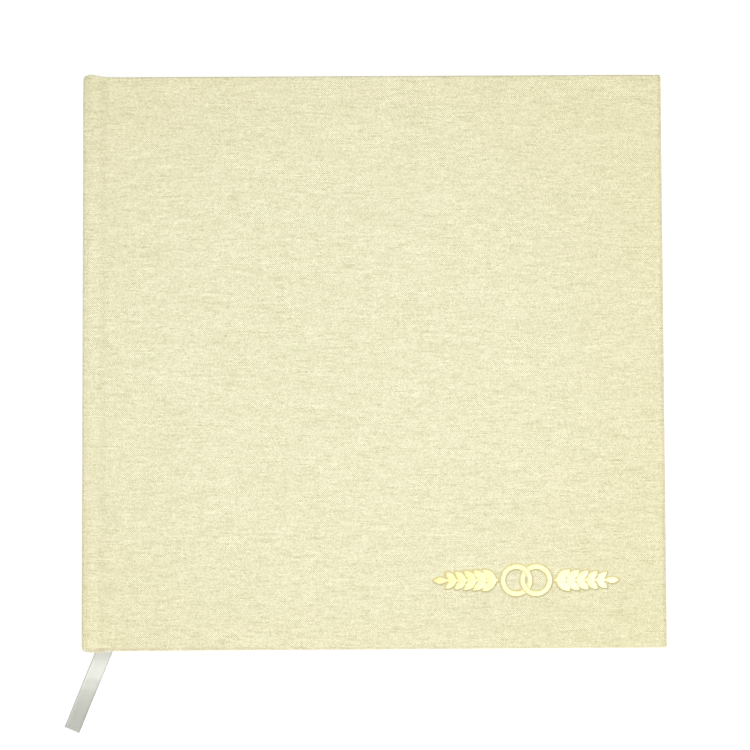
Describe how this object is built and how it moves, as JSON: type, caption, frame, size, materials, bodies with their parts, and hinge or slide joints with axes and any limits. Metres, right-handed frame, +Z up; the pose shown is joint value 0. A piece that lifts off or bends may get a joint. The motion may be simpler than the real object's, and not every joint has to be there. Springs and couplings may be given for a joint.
{
  "type": "wedding guest book",
  "caption": "Square hardback guest book in cream linen cloth, with sewn sections, hollow spine, foil rings ornament and satin ribbon bookmark; opens flat in the middle.",
  "frame": {"origin": "centre of the closed book's footprint (without the ribbon), on the surface that the back cover lies on", "axes": "+X from spine to fore edge, +Y from tail to head, +Z up through the front cover"},
  "size_m": [0.2399, 0.2629, 0.0196],
  "materials": {
    "book_cloth": "matte",
    "grey_board": "matte",
    "endpaper": "matte",
    "leaf_paper": "matte",
    "gold_foil": "satin",
    "mull": "matte",
    "kraft_paper": "matte",
    "woven_band": "satin",
    "linen_thread": "matte",
    "satin_ribbon": "satin"
  },
  "bodies": {
    "back_cover": {"back_board": "grey_board", "back_cover_cloth": "book_cloth", "back_joint_cloth": "book_cloth", "back_pastedown": "endpaper"},
    "text_block": {"section_10": "leaf_paper", "back_flyleaf": "endpaper", "spine_mull": "mull", "spine_lining": "kraft_paper", "head_band": "woven_band", "tail_band": "woven_band", "sewing_thread": "linen_thread"},
    "spine": {"spine_board": "grey_board", "spine_cloth": "book_cloth"},
    "front_cover": {"front_board": "grey_board", "front_cover_cloth": "book_cloth", "front_joint_cloth": "book_cloth", "front_pastedown": "endpaper", "foil_ornament": "gold_foil"},
    "leaves_01": {"section_01": "leaf_paper", "front_flyleaf": "endpaper"},
    "leaves_02": {"section_02": "leaf_paper"},
    "leaves_03": {"section_03": "leaf_paper"},
    "leaves_04": {"section_04": "leaf_paper"},
    "leaves_05": {"section_05": "leaf_paper"},
    "leaves_06": {"section_06": "leaf_paper", "ribbon_bookmark": "satin_ribbon"},
    "leaves_07": {"section_07": "leaf_paper"},
    "leaves_08": {"section_08": "leaf_paper"},
    "leaves_09": {"section_09": "leaf_paper"}
  },
  "joints": [
    {"name": "back_cover_hinge", "type": "hinge", "parent": "back_cover", "child": "text_block", "pos_m": [-0.1141, 0, 0.0014], "axis": [0, 1, 0], "range_deg": [-90, 0]},
    {"name": "spine_tilt", "type": "hinge", "parent": "text_block", "child": "spine", "pos_m": [-0.1141, 0, 0.0014], "axis": [0, -1, 0], "range_deg": [0, 90]},
    {"name": "front_cover_hinge", "type": "hinge", "parent": "spine", "child": "front_cover", "pos_m": [-0.1141, 0, 0.0182], "axis": [0, -1, 0], "range_deg": [0, 90], "deforming": ["spine_mull", "spine_lining", "head_band", "tail_band", "sewing_thread", "ribbon_bookmark"]},
    {"name": "section_01_turn", "type": "hinge", "parent": "spine", "child": "leaves_01", "pos_m": [-0.1141, 0, 0.0182], "axis": [0, -1, 0], "range_deg": [0, 90]},
    {"name": "section_02_turn", "type": "hinge", "parent": "spine", "child": "leaves_02", "pos_m": [-0.1128, 0, 0.0169], "axis": [0, -1, 0], "range_deg": [0, 90]},
    {"name": "section_03_turn", "type": "hinge", "parent": "spine", "child": "leaves_03", "pos_m": [-0.1115, 0, 0.0156], "axis": [0, -1, 0], "range_deg": [0, 90]},
    {"name": "section_04_turn", "type": "hinge", "parent": "spine", "child": "leaves_04", "pos_m": [-0.1102, 0, 0.0143], "axis": [0, -1, 0], "range_deg": [0, 90]},
    {"name": "section_05_turn", "type": "hinge", "parent": "spine", "child": "leaves_05", "pos_m": [-0.1089, 0, 0.013], "axis": [0, -1, 0], "range_deg": [0, 90]},
    {"name": "section_06_slip", "type": "slide", "parent": "text_block", "child": "leaves_06", "axis": [-1, 0, 0], "range_m": [0, 0.0104]},
    {"name": "section_07_slip", "type": "slide", "parent": "text_block", "child": "leaves_07", "axis": [-1, 0, 0], "range_m": [0, 0.0078]},
    {"name": "section_08_slip", "type": "slide", "parent": "text_block", "child": "leaves_08", "axis": [-1, 0, 0], "range_m": [0, 0.0052]},
    {"name": "section_09_slip", "type": "slide", "parent": "text_block", "child": "leaves_09", "axis": [-1, 0, 0], "range_m": [0, 0.0026]}
  ],
  "couplings": [
    {"joint": "spine_tilt", "follows": "front_cover_hinge", "ratio": 1},
    {"joint": "section_01_turn", "follows": "front_cover_hinge", "ratio": 1},
    {"joint": "section_02_turn", "follows": "front_cover_hinge", "ratio": 1},
    {"joint": "section_03_turn", "follows": "front_cover_hinge", "ratio": 1},
    {"joint": "section_04_turn", "follows": "front_cover_hinge", "ratio": 1},
    {"joint": "section_05_turn", "follows": "front_cover_hinge", "ratio": 1},
    {"joint": "section_06_slip", "follows": "front_cover_hinge", "m_per_rad": 0.00662},
    {"joint": "section_07_slip", "follows": "front_cover_hinge", "m_per_rad": 0.004965},
    {"joint": "section_08_slip", "follows": "front_cover_hinge", "m_per_rad": 0.00331},
    {"joint": "section_09_slip", "follows": "front_cover_hinge", "m_per_rad": 0.001655}
  ]
}
